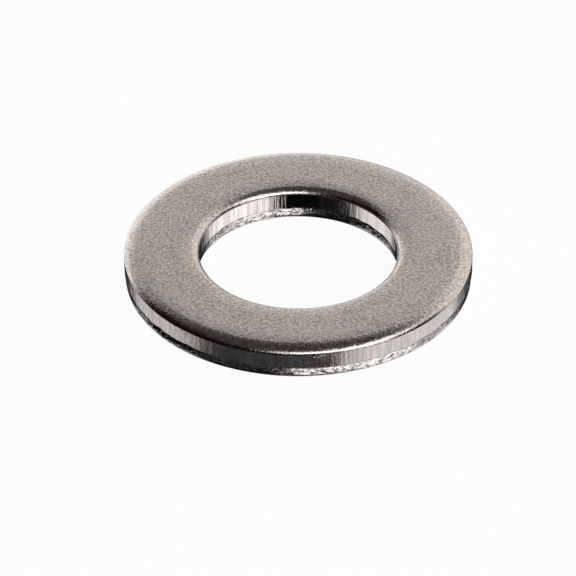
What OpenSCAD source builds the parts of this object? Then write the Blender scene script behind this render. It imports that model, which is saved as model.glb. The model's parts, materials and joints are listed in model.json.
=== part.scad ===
// Plain flat washer, blanked and pierced from sheet steel in one press stroke.
// It lies on its flat bearing face at z = 0, with the bore's axis on z and both rolled edges on top.
// From the top down, each sheared wall is a rolled edge, a burnished band and a torn band.

/* [Washer] */
// Outside diameter, at the rim's burnished band
outer_d = 30; // [25:0.5:60]
// Bore diameter, at the bore's burnished band
bore_d = 17.1; // [8:0.1:20]
// Thickness between the two bearing faces
thickness = 2.9; // [2.4:0.1:6]

/* [Rim] */
// How far the rolled edge reaches in from the rim
rim_roll_w = 1.1; // [0.2:0.05:1.4]
// How far the rolled edge drops below the top face
rim_roll_h = 0.6; // [0.1:0.05:0.9]
// Height of the torn band above the bottom face
rim_tear_h = 0.95; // [0.4:0.05:1.4]

/* [Bore] */
// How far the rolled edge reaches out from the bore
bore_roll_w = 0.7; // [0.2:0.05:1]
// How far the rolled edge drops below the top face
bore_roll_h = 0.5; // [0.1:0.05:0.9]
// Height of the torn band above the bottom face
bore_tear_h = 1; // [0.4:0.05:1.4]

/* [Edges] */
// Share of each roll's drop that is a plain slope, which meets the top face in a crease
roll_crease = 0.25; // [0:0.05:0.5]
// How far each torn band draws back from its burnished band
tear_draw = 0.1; // [0.05:0.01:0.4]
// Radius that tumbling leaves on each bottom edge
tumble_r = 0.12; // [0.05:0.01:0.25]

/* [Hidden] */
steel = [0.62, 0.59, 0.57];
outer_r = outer_d / 2;
bore_r = bore_d / 2;
// Straight steps that draw each rolled edge and each tumbled edge
roll_steps = 16;
tumble_steps = 6;
$fn = 128;

// How far below the top face a roll of drop h is, at angle a from the wall (0) to the face (90).
function roll_drop(h, a) = h * (roll_crease * cos(a) + (1 - roll_crease) * (1 - sin(a)));

// The rim's rolled edge, from the wall up to the top face.
function rim_roll() =
    [for (i = [0 : roll_steps])
        let (a = 90 * i / roll_steps)
        [outer_r - rim_roll_w * (1 - cos(a)), thickness - roll_drop(rim_roll_h, a)]];

// The bore's rolled edge, from the top face down to the wall.
function bore_roll() =
    [for (i = [0 : roll_steps])
        let (a = 90 - 90 * i / roll_steps)
        [bore_r + bore_roll_w * (1 - cos(a)), thickness - roll_drop(bore_roll_h, a)]];

// A tumbled bottom edge: a quarter of a circle about a centre at radius r, from angle start.
function tumbled(r, start) =
    [for (i = [0 : tumble_steps])
        let (a = start + 90 * i / tumble_steps)
        [r + tumble_r * cos(a), tumble_r + tumble_r * sin(a)]];

// The section's rim side, from the bottom face up to the top face.
function rim_side() = concat(
    tumbled(outer_r - tear_draw - tumble_r, -90),
    [[outer_r, rim_tear_h]],
    rim_roll());

// The section's bore side, from the top face down to the bottom face.
function bore_side() = concat(
    bore_roll(),
    [[bore_r, bore_tear_h]],
    tumbled(bore_r + tear_draw + tumble_r, 180));

module flat_washer() {
    color(steel)
        rotate_extrude()
            polygon(concat(rim_side(), bore_side()));
}

flat_washer();
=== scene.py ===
# A plain steel washer, blanked and pierced in one press stroke, lying on a pale floor.
import json
import math

import bpy
import numpy as np
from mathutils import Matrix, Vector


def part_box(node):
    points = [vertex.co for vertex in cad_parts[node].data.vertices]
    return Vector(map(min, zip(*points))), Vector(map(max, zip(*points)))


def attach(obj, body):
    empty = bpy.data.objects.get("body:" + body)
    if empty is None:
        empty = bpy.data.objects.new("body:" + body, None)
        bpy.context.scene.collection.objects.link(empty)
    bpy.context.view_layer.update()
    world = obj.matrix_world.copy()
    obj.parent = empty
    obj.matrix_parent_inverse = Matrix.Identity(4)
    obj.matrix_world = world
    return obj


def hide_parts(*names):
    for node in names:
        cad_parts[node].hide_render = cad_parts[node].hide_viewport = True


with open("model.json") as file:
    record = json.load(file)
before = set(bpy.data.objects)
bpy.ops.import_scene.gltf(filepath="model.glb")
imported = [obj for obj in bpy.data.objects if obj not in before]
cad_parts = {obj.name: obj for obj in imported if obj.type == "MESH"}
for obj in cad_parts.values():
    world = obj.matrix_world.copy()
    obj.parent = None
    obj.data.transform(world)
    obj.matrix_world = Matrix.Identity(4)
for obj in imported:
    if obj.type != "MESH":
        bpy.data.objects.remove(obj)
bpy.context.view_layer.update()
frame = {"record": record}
mm = 0.001

# The sizes that the frame gives. The bore's mount is its burnished band.
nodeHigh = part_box("flat_washer")[1]
boreMount = next(mount for mount in frame["record"]["mounts"] if mount["name"] == "bore")
boreBandMiddle = boreMount["pos_m"][2]
boreBandHeight = boreMount["dims"]["length_mm"] * mm

washer = dict(
    rimRadius=min(nodeHigh.x, nodeHigh.y),  # the lesser one keeps the mesh inside the frame's box
    boreRadius=boreMount["dims"]["r_mm"] * mm,
    topHeight=nodeHigh.z,
    segments=1240,
    topSpans=4, bottomSpans=2,  # rings of faces across each flat face
    tearDraw=0.1 * mm,  # how far a torn band leans back at its foot
    tumbleRadius=0.12 * mm,  # left on the bottom edges by tumbling
    ledge=0.012 * mm,  # small step in from the burnished band
    tearLineWave=0.04 * mm,  # slow rise and fall of the line where the steel tore
    tearLineWaves=14,  # how many of them go round
    tearLineTeeth=0.1 * mm,  # quick rise and fall of the same line
    teethPerMm=(1.1, 2.5, 5),
    tornRelief=0.034 * mm,  # depth of the torn grain
    grainPerMm=(1.4, 3.1, 6.5),
    grainUp=(3, 5, 9),  # grains between a torn band's foot and its top
    grainShares=(0.45, 0.35, 0.25),
    scoreDepth=0.015 * mm,  # upright scores that the die leaves
    scoresPerMm=(1.2, 2.6, 5.5),
    rollWave=0.05,  # the rolls aren't equally wide all round
    rollWaves=9,
    rollCrease=0.25,  # share of a roll's drop that is a plain slope
    seed=7,
)

bandShares = (0, 0.02, 0.3, 0.65, 0.97, 1)  # rows up a burnished band, close together at its ends
rimBand, boreBand, torn, tumbled = range(4)  # material slots

rimWall = dict(
    side=1, band=rimBand,
    radius=washer["rimRadius"],
    tearHeight=0.95 * mm,
    rollWidth=1.1 * mm,
    rollDrop=0.6 * mm,
    edgeRows=4, tornRows=15, rollRows=15,
)

boreWall = dict(
    side=-1, band=boreBand,
    radius=washer["boreRadius"],
    tearHeight=boreBandMiddle - boreBandHeight / 2,
    rollWidth=0.7 * mm,
    rollDrop=washer["topHeight"] - boreBandMiddle - boreBandHeight / 2,
    edgeRows=3, tornRows=13, rollRows=12,
)

turns = np.arange(washer["segments"]) / washer["segments"]


def ease(share):
    return share * share * (3 - 2 * share)


def ringNoise(shake, cellsRound, cellsUp=1):
    # Smooth noise from -1 to 1 that closes on itself round the washer.
    grid = shake.uniform(-1, 1, (cellsUp + 1, cellsRound))
    across = turns * cellsRound
    column = np.floor(across).astype(int)
    besideShare = ease(across - column)

    def at(share=0.0):
        up = share * cellsUp
        row = min(int(up), cellsUp - 1)
        aboveShare = ease(up - row)
        line = grid[row] * (1 - aboveShare) + grid[row + 1] * aboveShare
        here, beside = line[column % cellsRound], line[(column + 1) % cellsRound]
        return here * (1 - besideShare) + beside * besideShare

    return at


def layers(shake, perMm, wallLength, cellsUp=(1, 1, 1), shares=(0.5, 0.3, 0.2)):
    # Three sizes of ring noise, from coarse to fine.
    return [(share, ringNoise(shake, round(wallLength * cells), rows))
            for share, cells, rows in zip(shares, perMm, cellsUp)]


def wallSection(wall, shake):
    # Rows of one sheared wall from the bottom face to the top face: radius, height and polish,
    # which on the torn band also masks a painted shade, and the material of each span between rows.
    side, wallRadius = wall["side"], wall["radius"]
    length = 2 * math.pi * wallRadius / mm
    top, tumble, draw = washer["topHeight"], washer["tumbleRadius"], washer["tearDraw"]
    bandHigh = top - wall["rollDrop"]

    tearLine = wall["tearHeight"] + washer["tearLineWave"] * ringNoise(shake, washer["tearLineWaves"])()
    teeth = layers(shake, washer["teethPerMm"], length)
    tearLine += washer["tearLineTeeth"] * sum(share * noise() for share, noise in teeth)
    scores = sum(share * noise() for share, noise in layers(shake, washer["scoresPerMm"], length))
    scores = washer["scoreDepth"] * np.clip(0.5 + scores, 0, 1.2)
    tornGrain = layers(shake, washer["grainPerMm"], length, washer["grainUp"], washer["grainShares"])
    rollWidth = wall["rollWidth"] * (1 + washer["rollWave"] * ringNoise(shake, washer["rollWaves"])())

    rows, spans = [], []

    def add(inset, height, polishAndStepShade, material):
        # Adding 0 * turns spreads a single number all round.
        rows.append((wallRadius - side * inset + 0 * turns, height + 0 * turns, polishAndStepShade))
        spans.append(material)

    for step in range(wall["edgeRows"] + 1):
        angle = math.pi / 2 * step / wall["edgeRows"]
        add(draw + tumble * (1 - math.sin(angle)), tumble * (1 - math.cos(angle)), 0.5, tumbled)
    spans[-1] = torn
    for step in range(1, wall["tornRows"] + 1):
        t = step / wall["tornRows"]
        grain = sum(share * np.abs(noise(t)) for share, noise in tornGrain)
        # The grain is shallow at the band's foot and at its top.
        relief = washer["tornRelief"] * grain * math.sqrt(math.sin(math.pi * t * 0.95))
        inset = draw * (1 - t) + washer["ledge"] + relief + scores * t
        # On the torn band this polish value climbs to 1 at the tear line and masks the painted shade
        # under the step.
        add(inset, tumble + (tearLine - tumble) * t, t ** 8, torn)
    for t in bandShares:
        add(scores * (1 - t ** 6), tearLine + (bandHigh - tearLine) * t, 1, wall["band"])
    spans[-1] = tumbled
    for step in range(1, wall["rollRows"] + 1):
        t = step / wall["rollRows"]
        angle = math.pi / 2 * t ** 1.2  # closer rows where the roll is tightest
        crease = washer["rollCrease"]
        drop = crease * math.cos(angle) + (1 - crease) * (1 - math.sin(angle))
        add(rollWidth * (1 - math.cos(angle)), top - wall["rollDrop"] * drop, 1 - t, tumbled)
    return rows, spans[:-1]


def flatRows(start, end, height, steps):
    # Rows between two rings of a flat face, without the rings themselves.
    return [(start[0] + (end[0] - start[0]) * step / steps, height + 0 * turns, 0.0)
            for step in range(1, steps)]


def gridCorners(count):
    # The row and the column of every face's four corners. Rows and columns both close up.
    segments = washer["segments"]
    row, column = np.meshgrid(np.arange(count), np.arange(segments), indexing="ij")
    above, beside = (row + 1) % count, (column + 1) % segments
    return (row, column), (row, beside), (above, beside), (above, column)


def buildWasher():
    shake = np.random.default_rng(washer["seed"])
    rim, rimSpans = wallSection(rimWall, shake)
    bore, boreSpans = wallSection(boreWall, shake)
    topSpans, bottomSpans = washer["topSpans"], washer["bottomSpans"]
    # The closed section runs up the rim, in along the top, down the bore and out along the bottom.
    rows = rim + flatRows(rim[-1], bore[-1], washer["topHeight"], topSpans)
    rows += bore[::-1] + flatRows(bore[0], rim[0], 0, bottomSpans)
    slots = rimSpans + [tumbled] * topSpans + boreSpans[::-1] + [tumbled] * bottomSpans
    segments = washer["segments"]
    angles = 2 * math.pi * turns
    radius, height = (np.array([row[part] for row in rows]) for part in (0, 1))
    points = np.stack([radius * np.cos(angles), radius * np.sin(angles), height], axis=-1)
    corners = gridCorners(len(rows))
    faces = np.stack([row * segments + column for row, column in corners], axis=-1).reshape(-1, 4)

    mesh = bpy.data.meshes.new("flatWasher")
    mesh.from_pydata(points.reshape(-1, 3), [], faces)
    mesh.polygons.foreach_set("material_index", np.repeat(slots, segments))
    mesh.polygons.foreach_set("use_smooth", np.ones(len(faces), bool))
    polishAndStepShade = mesh.attributes.new("polishAndStepShade", "FLOAT", "POINT")
    polishAndStepShade.data.foreach_set("value", np.repeat([row[2] for row in rows], segments).astype(np.float32))
    boreStart = len(rimSpans) + topSpans
    places = bakePlaces(points, radius, height, len(rimSpans), boreStart, boreStart + len(boreSpans))
    mesh.uv_layers.new(name="OFBake").uv.foreach_set("vector", places.astype(np.float32).ravel())
    mesh.update()
    piece = bpy.data.objects.new("flatWasher", mesh)
    bpy.context.scene.collection.objects.link(piece)
    print("washer mesh:", len(faces), "faces in", len(rows), "rows")
    return piece


# Places and sizes on the bake's map, as shares of its side.
bakeMap = dict(
    faceRadius=0.24,
    topCentre=(0.25, 0.75), bottomCentre=(0.25, 0.25),
    stripStart=0.506, stripPitch=0.124, stripWidth=0.114,
    stripFoot=0.01, stripLength=0.98,
)


def bakePlaces(points, radius, height, rimEnd, boreStart, boreEnd):
    # Both faces lie as flat rings on the left of the map, and each wall as two strips on the right.
    spanWidths = np.diff(radius.mean(1), append=radius[0].mean())
    spanHeights = np.diff(height.mean(1), append=0.0)
    along = np.concatenate([[0], np.cumsum(np.hypot(spanWidths, spanHeights))])
    corners = gridCorners(len(points))
    row, column = corners[0]
    half = washer["segments"] // 2
    strip = column // half
    isTop = ((row >= rimEnd) & (row < boreStart))[..., None]
    places = []
    for corner, (cornerRow, cornerColumn) in enumerate(corners):
        place = points[cornerRow, cornerColumn][..., :2] / washer["rimRadius"] * bakeMap["faceRadius"]
        place = place + np.where(isTop, bakeMap["topCentre"], bakeMap["bottomCentre"])
        ahead = column + (1 if corner in (1, 2) else 0) - strip * half
        level = row + (1 if corner > 1 else 0)
        up = bakeMap["stripFoot"] + bakeMap["stripLength"] * ahead / half
        for first, last, firstStrip in ((0, rimEnd, 0), (boreStart, boreEnd, 2)):
            share = (along[np.clip(level, first, last)] - along[first]) / (along[last] - along[first])
            stripSide = bakeMap["stripStart"] + bakeMap["stripPitch"] * (firstStrip + strip)
            wallPlace = np.stack([stripSide + bakeMap["stripWidth"] * share, up], axis=-1)
            onWall = ((row >= first) & (row < last))[..., None]
            place = np.where(onWall, wallPlace, place)
        places.append(place)
    return np.stack(places, axis=2)


def newSteel(name, metallic=1.0):
    material = bpy.data.materials.new(name)
    material.use_nodes = True
    tree = material.node_tree
    shader = tree.nodes["Principled BSDF"]
    shader.inputs["Metallic"].default_value = metallic
    return material, tree, shader


def addNode(tree, kind, **settings):
    node = tree.nodes.new(kind)
    for name, value in settings.items():
        if name in node.inputs:
            node.inputs[name].default_value = value
        else:
            setattr(node, name, value)
    return node


def plug(tree, socket, value):
    # Links another node's output, or sets a plain number or colour.
    if isinstance(value, bpy.types.NodeSocket):
        tree.links.new(value, socket)
    elif isinstance(value, tuple):
        socket.default_value = (*value, 1)
    else:
        socket.default_value = value


def maths(tree, operation, first, second=0.0):
    node = addNode(tree, "ShaderNodeMath", operation=operation)
    plug(tree, node.inputs[0], first)
    plug(tree, node.inputs[1], second)
    return node.outputs[0]


def millimetres(tree, squeeze=(1, 1, 1)):
    # Object coordinates in millimetres. A squeeze under 1 draws a pattern out along that axis.
    place = addNode(tree, "ShaderNodeTexCoord")
    scaled = addNode(tree, "ShaderNodeVectorMath", operation="MULTIPLY")
    scaled.inputs[1].default_value = [side / mm for side in squeeze]
    tree.links.new(place.outputs["Object"], scaled.inputs[0])
    return scaled.outputs[0]


def noise(tree, place, scale, detail=2.0, roughness=0.5):
    node = addNode(tree, "ShaderNodeTexNoise", Scale=scale, Detail=detail, Roughness=roughness)
    tree.links.new(place, node.inputs["Vector"])
    return node.outputs["Fac"]


def ramp(tree, factor, low, high, start=0.0, end=1.0, smooth=False):
    node = addNode(tree, "ShaderNodeMapRange", interpolation_type="SMOOTHSTEP" if smooth else "LINEAR")
    plug(tree, node.inputs["Value"], factor)
    for name, value in (("From Min", low), ("From Max", high), ("To Min", start), ("To Max", end)):
        plug(tree, node.inputs[name], value)
    return node.outputs["Result"]


def mixColour(tree, factor, first, second):
    # The node's colour sockets are its inputs 6 and 7 and its output 2.
    node = addNode(tree, "ShaderNodeMix", data_type="RGBA")
    plug(tree, node.inputs[0], factor)
    plug(tree, node.inputs[6], first)
    plug(tree, node.inputs[7], second)
    return node.outputs[2]


def bump(tree, height, distance):
    node = addNode(tree, "ShaderNodeBump", Strength=1.0, Distance=distance)
    tree.links.new(height, node.inputs["Height"])
    return node.outputs["Normal"]


def driftingRough(tree, place, look):
    # The noise seldom leaves the range from 0.3 to 0.7.
    drift = noise(tree, place, look["driftScale"], look["driftDetail"])
    return ramp(tree, drift, 0.3, 0.7, look["roughLow"], look["roughHigh"])


# In each look a scale is in patches to the millimetre, and a range gives the two values between
# which its pattern fades.
faceLook = dict(
    dark=(0.37, 0.327, 0.303),
    light=(0.82, 0.737, 0.686),
    grainScale=4.2, grainRange=(0.36, 0.64),
    grainDepth=0.03 * mm,
    cloudScale=0.3, cloudRange=(0.35, 0.7), cloudShare=0.2,
    pit=(0.2, 0.175, 0.16),
    pitScale=6, pitRange=(0.66, 0.72), pitShare=0.7,
    driftScale=2.5, driftDetail=3,
    roughLow=0.2, roughHigh=0.32,
    wallRough=0.12,  # where a roll meets its burnished band
)


def tumbledSteel():
    # Both faces, the rolled edges and the tumbled bottom edges.
    look = faceLook
    material, tree, shader = newSteel("tumbledSteel")
    place = millimetres(tree)
    grain = noise(tree, place, look["grainScale"], detail=3, roughness=0.6)
    colour = mixColour(tree, ramp(tree, grain, *look["grainRange"]), look["dark"], look["light"])
    cloud = noise(tree, place, look["cloudScale"], detail=3)
    clouds = ramp(tree, cloud, *look["cloudRange"], 0, look["cloudShare"])
    colour = mixColour(tree, clouds, colour, look["light"])
    pits = ramp(tree, noise(tree, place, look["pitScale"]), *look["pitRange"], 0, look["pitShare"])
    colour = mixColour(tree, pits, colour, look["pit"])
    tree.links.new(colour, shader.inputs["Base Color"])
    polishAndStepShade = addNode(tree, "ShaderNodeAttribute", attribute_name="polishAndStepShade").outputs["Fac"]
    rough = ramp(tree, polishAndStepShade, 0, 1, driftingRough(tree, place, look), look["wallRough"])
    tree.links.new(rough, shader.inputs["Roughness"])
    tree.links.new(bump(tree, grain, look["grainDepth"]), shader.inputs["Normal"])
    return material


burnishedLook = dict(
    streakRange=(0.35, 0.65),
    streakSqueeze=(1, 1, 0.06),
    grainScale=5,
    driftScale=2.5, driftDetail=3,
)

# The rim band's copy of the burnished steel, with darker colours than the bore band's copy of the same
# steel.
rimBandLook = dict(
    burnishedLook,
    metallic=0.88,
    dark=(0.47, 0.435, 0.42),
    light=(0.65, 0.605, 0.585),
    streakScale=4.5,
    streakDepth=0.022 * mm,
    grainDepth=0.012 * mm,
    roughLow=0.07, roughHigh=0.12,
)

# The same burnished steel as the rim band's, with colours painted lighter so that the bore band shows
# brighter: painted light.
paintedLightBoreBandLook = dict(
    burnishedLook,
    metallic=1.0,
    dark=(0.62, 0.575, 0.56),
    light=(0.93, 0.875, 0.85),
    streakScale=4,
    streakDepth=0.035 * mm,
    grainDepth=0.006 * mm,
    roughLow=0.04, roughHigh=0.08,
)


def burnishedSteel(name, look):
    # A band that slid along the die or the punch, with its upright scores.
    material, tree, shader = newSteel(name, look["metallic"])
    place = millimetres(tree)
    drawnOut = millimetres(tree, look["streakSqueeze"])
    streak = noise(tree, drawnOut, look["streakScale"], detail=3, roughness=0.6)
    colour = mixColour(tree, ramp(tree, streak, *look["streakRange"]), look["dark"], look["light"])
    tree.links.new(colour, shader.inputs["Base Color"])
    tree.links.new(driftingRough(tree, place, look), shader.inputs["Roughness"])
    grained = bump(tree, noise(tree, place, look["grainScale"]), look["grainDepth"])
    scored = bump(tree, streak, look["streakDepth"])
    tree.links.new(grained, scored.node.inputs["Normal"])
    tree.links.new(scored, shader.inputs["Normal"])
    return material


tornLook = dict(
    squeeze=(1, 1, 1.3),
    dark=(0.15, 0.134, 0.13),
    light=(0.63, 0.588, 0.574),
    grainScale=3, grainRange=(0.38, 0.56),
    grainDepth=0.014 * mm,
    # crack is the colour of a few cracks and also of the painted shade under the step, which
    # stepShadeRange and stepShadeShare place.
    stepShadeAndCrack=(0.03, 0.025, 0.022),
    crackScale=1.8, crackRange=(0.38, 0.44), crackShare=0.85,
    stepShadeRange=(0.4, 1), stepShadeShare=0.8,
    driftScale=3, driftDetail=2,
    roughLow=0.06, roughHigh=0.12,
)


def tornSteel():
    # The band where the steel broke away.
    look = tornLook
    material, tree, shader = newSteel("tornSteel")
    place = millimetres(tree, look["squeeze"])
    grain = noise(tree, place, look["grainScale"], detail=4, roughness=0.6)
    colour = mixColour(tree, ramp(tree, grain, *look["grainRange"]), look["dark"], look["light"])
    # Painted shade darkens the step under the burnished band, where the polish climbs, and a few cracks
    # are dark too.
    polishAndStepShade = addNode(tree, "ShaderNodeAttribute", attribute_name="polishAndStepShade").outputs["Fac"]
    step = ramp(tree, polishAndStepShade, *look["stepShadeRange"], 0, look["stepShadeShare"])
    crackNoise = noise(tree, place, look["crackScale"], detail=4, roughness=0.7)
    cracks = ramp(tree, crackNoise, *look["crackRange"], look["crackShare"], 0)
    stepShadeAndCracks = maths(tree, "MAXIMUM", step, cracks)
    tree.links.new(mixColour(tree, stepShadeAndCracks, colour, look["stepShadeAndCrack"]), shader.inputs["Base Color"])
    tree.links.new(driftingRough(tree, place, look), shader.inputs["Roughness"])
    tree.links.new(bump(tree, grain, look["grainDepth"]), shader.inputs["Normal"])
    return material


piece = buildWasher()
piece.data.materials.append(burnishedSteel("rimBandSteel", rimBandLook))
piece.data.materials.append(burnishedSteel("paintedLightBoreBandSteel", paintedLightBoreBandLook))
piece.data.materials.append(tornSteel())
piece.data.materials.append(tumbledSteel())
print("finishes made")

# What the steel mirrors. Azimuth 0 is the camera's side and 90 the right, and a later card
# covers an earlier one.
studio = dict(
    backdrop=0.57,
    cards=[
        # name, azimuth, half width, low, high, soft sides, soft ends, all in degrees, and light
        ("ceiling", 0, 200, 45, 100, 6, 6, 0.05),
        ("underside", 0, 200, -100, -68, 5, 6, 0.01),
        ("underside left", -98, 92, -100, -30, 5, 5, 0.004),
        ("flag left", -56, 76, -40, 55, 8, 6, 0.007),
        ("floor left", -50, 40, -42, -28, 8, 8, 0.012),
        ("low fill left", -118, 46, -39, -32, 16, 3, 0.9),
        ("low fill right", 46, 36, -35, 30, 4, 4, 0.88),
        ("softbox", 38, 48, 24, 62, 10, 8, 2.4),
        ("floor front", 30, 18, -75, -46, 10, 10, 2.4),
        ("floor middle", 55, 34, -61, -28, 4, 3, 0.88),
        ("floor right", 88, 46, -56, -31, 3, 3, 1.1),
        ("floor low right", 60, 66, -60, -44, 26, 3, 1.9),
        ("floor low left", -45, 32, -64, -44, 12, 4, 0.05),
        ("floor back left", -160, 16, -62, -41, 6, 4, 1.3),
        ("under right", 125, 27, -100, -42, 8, 3, 0.4),
        ("floor far right", 141, 13, -65, -25, 8, 4, 0.35),
        ("under back", 180, 40, -100, -6, 14, 6, 0.02),
        ("panel right", 134, 36, -16, 52, 4, 6, 0.97),
        ("panel left", -152, 32, -28, 24, 12, 10, 1.2),
        ("gap right", 80, 19, -14, 37, 8, 4, 0.01),
        ("gap foot", 56, 30, -27, -13, 8, 5, 0.12),
        ("slot front", 0, 28, -43, 27, 5, 3, 0.003),
    ],
)


def cardMask(tree, azimuth, elevation, centre, halfWidth, low, high, softSides, softEnds):
    away = addNode(tree, "ShaderNodeMath", operation="WRAP")
    plug(tree, away.inputs[0], maths(tree, "SUBTRACT", azimuth, centre))
    plug(tree, away.inputs[1], 180.0)
    plug(tree, away.inputs[2], -180.0)
    beside = maths(tree, "ABSOLUTE", away.outputs[0])
    side = ramp(tree, beside, halfWidth - softSides, halfWidth + softSides, 1, 0, smooth=True)
    under = ramp(tree, elevation, low - softEnds / 2, low + softEnds / 2, 0, 1, smooth=True)
    over = ramp(tree, elevation, high - softEnds / 2, high + softEnds / 2, 1, 0, smooth=True)
    return maths(tree, "MULTIPLY", side, maths(tree, "MULTIPLY", under, over))


def buildStudio():
    world = bpy.data.worlds.new("studio")
    world.use_nodes = True
    bpy.context.scene.world = world
    tree = world.node_tree
    backdrop = tree.nodes["Background"]
    backdrop.inputs["Color"].default_value = (1, 1, 1, 1)
    parts = addNode(tree, "ShaderNodeSeparateXYZ")
    tree.links.new(addNode(tree, "ShaderNodeTexCoord").outputs["Generated"], parts.inputs[0])
    elevation = maths(tree, "DEGREES", maths(tree, "ARCSINE", parts.outputs["Z"]))
    front = maths(tree, "MULTIPLY", parts.outputs["Y"], -1.0)
    azimuth = maths(tree, "DEGREES", maths(tree, "ARCTAN2", parts.outputs["X"], front))
    light = (studio["backdrop"],) * 3
    for name, *card, level in studio["cards"]:
        light = mixColour(tree, cardMask(tree, azimuth, elevation, *card), light, (level,) * 3)
    cards = addNode(tree, "ShaderNodeBackground")
    tree.links.new(light, cards.inputs["Color"])
    rays = addNode(tree, "ShaderNodeLightPath")
    choose = addNode(tree, "ShaderNodeMixShader")
    tree.links.new(rays.outputs["Is Camera Ray"], choose.inputs[0])
    tree.links.new(cards.outputs[0], choose.inputs[1])
    tree.links.new(backdrop.outputs[0], choose.inputs[2])
    tree.links.new(choose.outputs[0], tree.nodes["World Output"].inputs["Surface"])


floorLook = dict(
    size=0.8,  # metres
    gap=0.01 * mm,  # keeps it clear of the washer's bottom face
    colour=0.9,
    whitened=0.95,  # share that is plain white to the camera; the rest takes the shadow
)


def buildFloor():
    half = floorLook["size"] / 2
    mesh = bpy.data.meshes.new("floor")
    corners = [(-half, -half, 0), (half, -half, 0), (half, half, 0), (-half, half, 0)]
    mesh.from_pydata(corners, [], [(0, 1, 2, 3)])
    floor = bpy.data.objects.new("floor", mesh)
    floor.location.z = -floorLook["gap"]
    bpy.context.scene.collection.objects.link(floor)
    material = bpy.data.materials.new("paleFloor")
    material.use_nodes = True
    tree = material.node_tree
    tree.nodes.remove(tree.nodes["Principled BSDF"])
    matte = addNode(tree, "ShaderNodeBsdfDiffuse")
    plug(tree, matte.inputs["Color"], (floorLook["colour"],) * 3)
    white = addNode(tree, "ShaderNodeEmission")
    rays = addNode(tree, "ShaderNodeLightPath")
    choose = addNode(tree, "ShaderNodeMixShader")
    share = maths(tree, "MULTIPLY", rays.outputs["Is Camera Ray"], floorLook["whitened"])
    tree.links.new(share, choose.inputs[0])
    tree.links.new(matte.outputs[0], choose.inputs[1])
    tree.links.new(white.outputs[0], choose.inputs[2])
    tree.links.new(choose.outputs[0], tree.nodes["Material Output"].inputs["Surface"])
    mesh.materials.append(material)
    floor.visible_glossy = False  # the steel mirrors the studio's lower cards instead


view = dict(
    elevation=35.6,  # degrees
    distance=0.54,  # metres
    lens=391,  # millimetres
    nearClip=0.01,
    right=-0.89 * mm,  # the aim is a little left of the bore's axis and below it
    up=-1.17 * mm,
)


def buildCamera():
    tilt = math.radians(view["elevation"])
    camera = bpy.data.objects.new("camera", bpy.data.cameras.new("camera"))
    camera.data.lens = view["lens"]
    camera.data.clip_start = view["nearClip"]
    camera.rotation_euler = (math.pi / 2 - tilt, 0, 0)
    camera.location = (
        view["right"],
        view["up"] * math.sin(tilt) - view["distance"] * math.cos(tilt),
        view["up"] * math.cos(tilt) + view["distance"] * math.sin(tilt),
    )
    bpy.context.scene.collection.objects.link(camera)
    bpy.context.scene.camera = camera


buildStudio()
buildFloor()
buildCamera()
bpy.context.scene.view_settings.view_transform = "Standard"
print("studio built")

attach(piece, "root")
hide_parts("flat_washer")
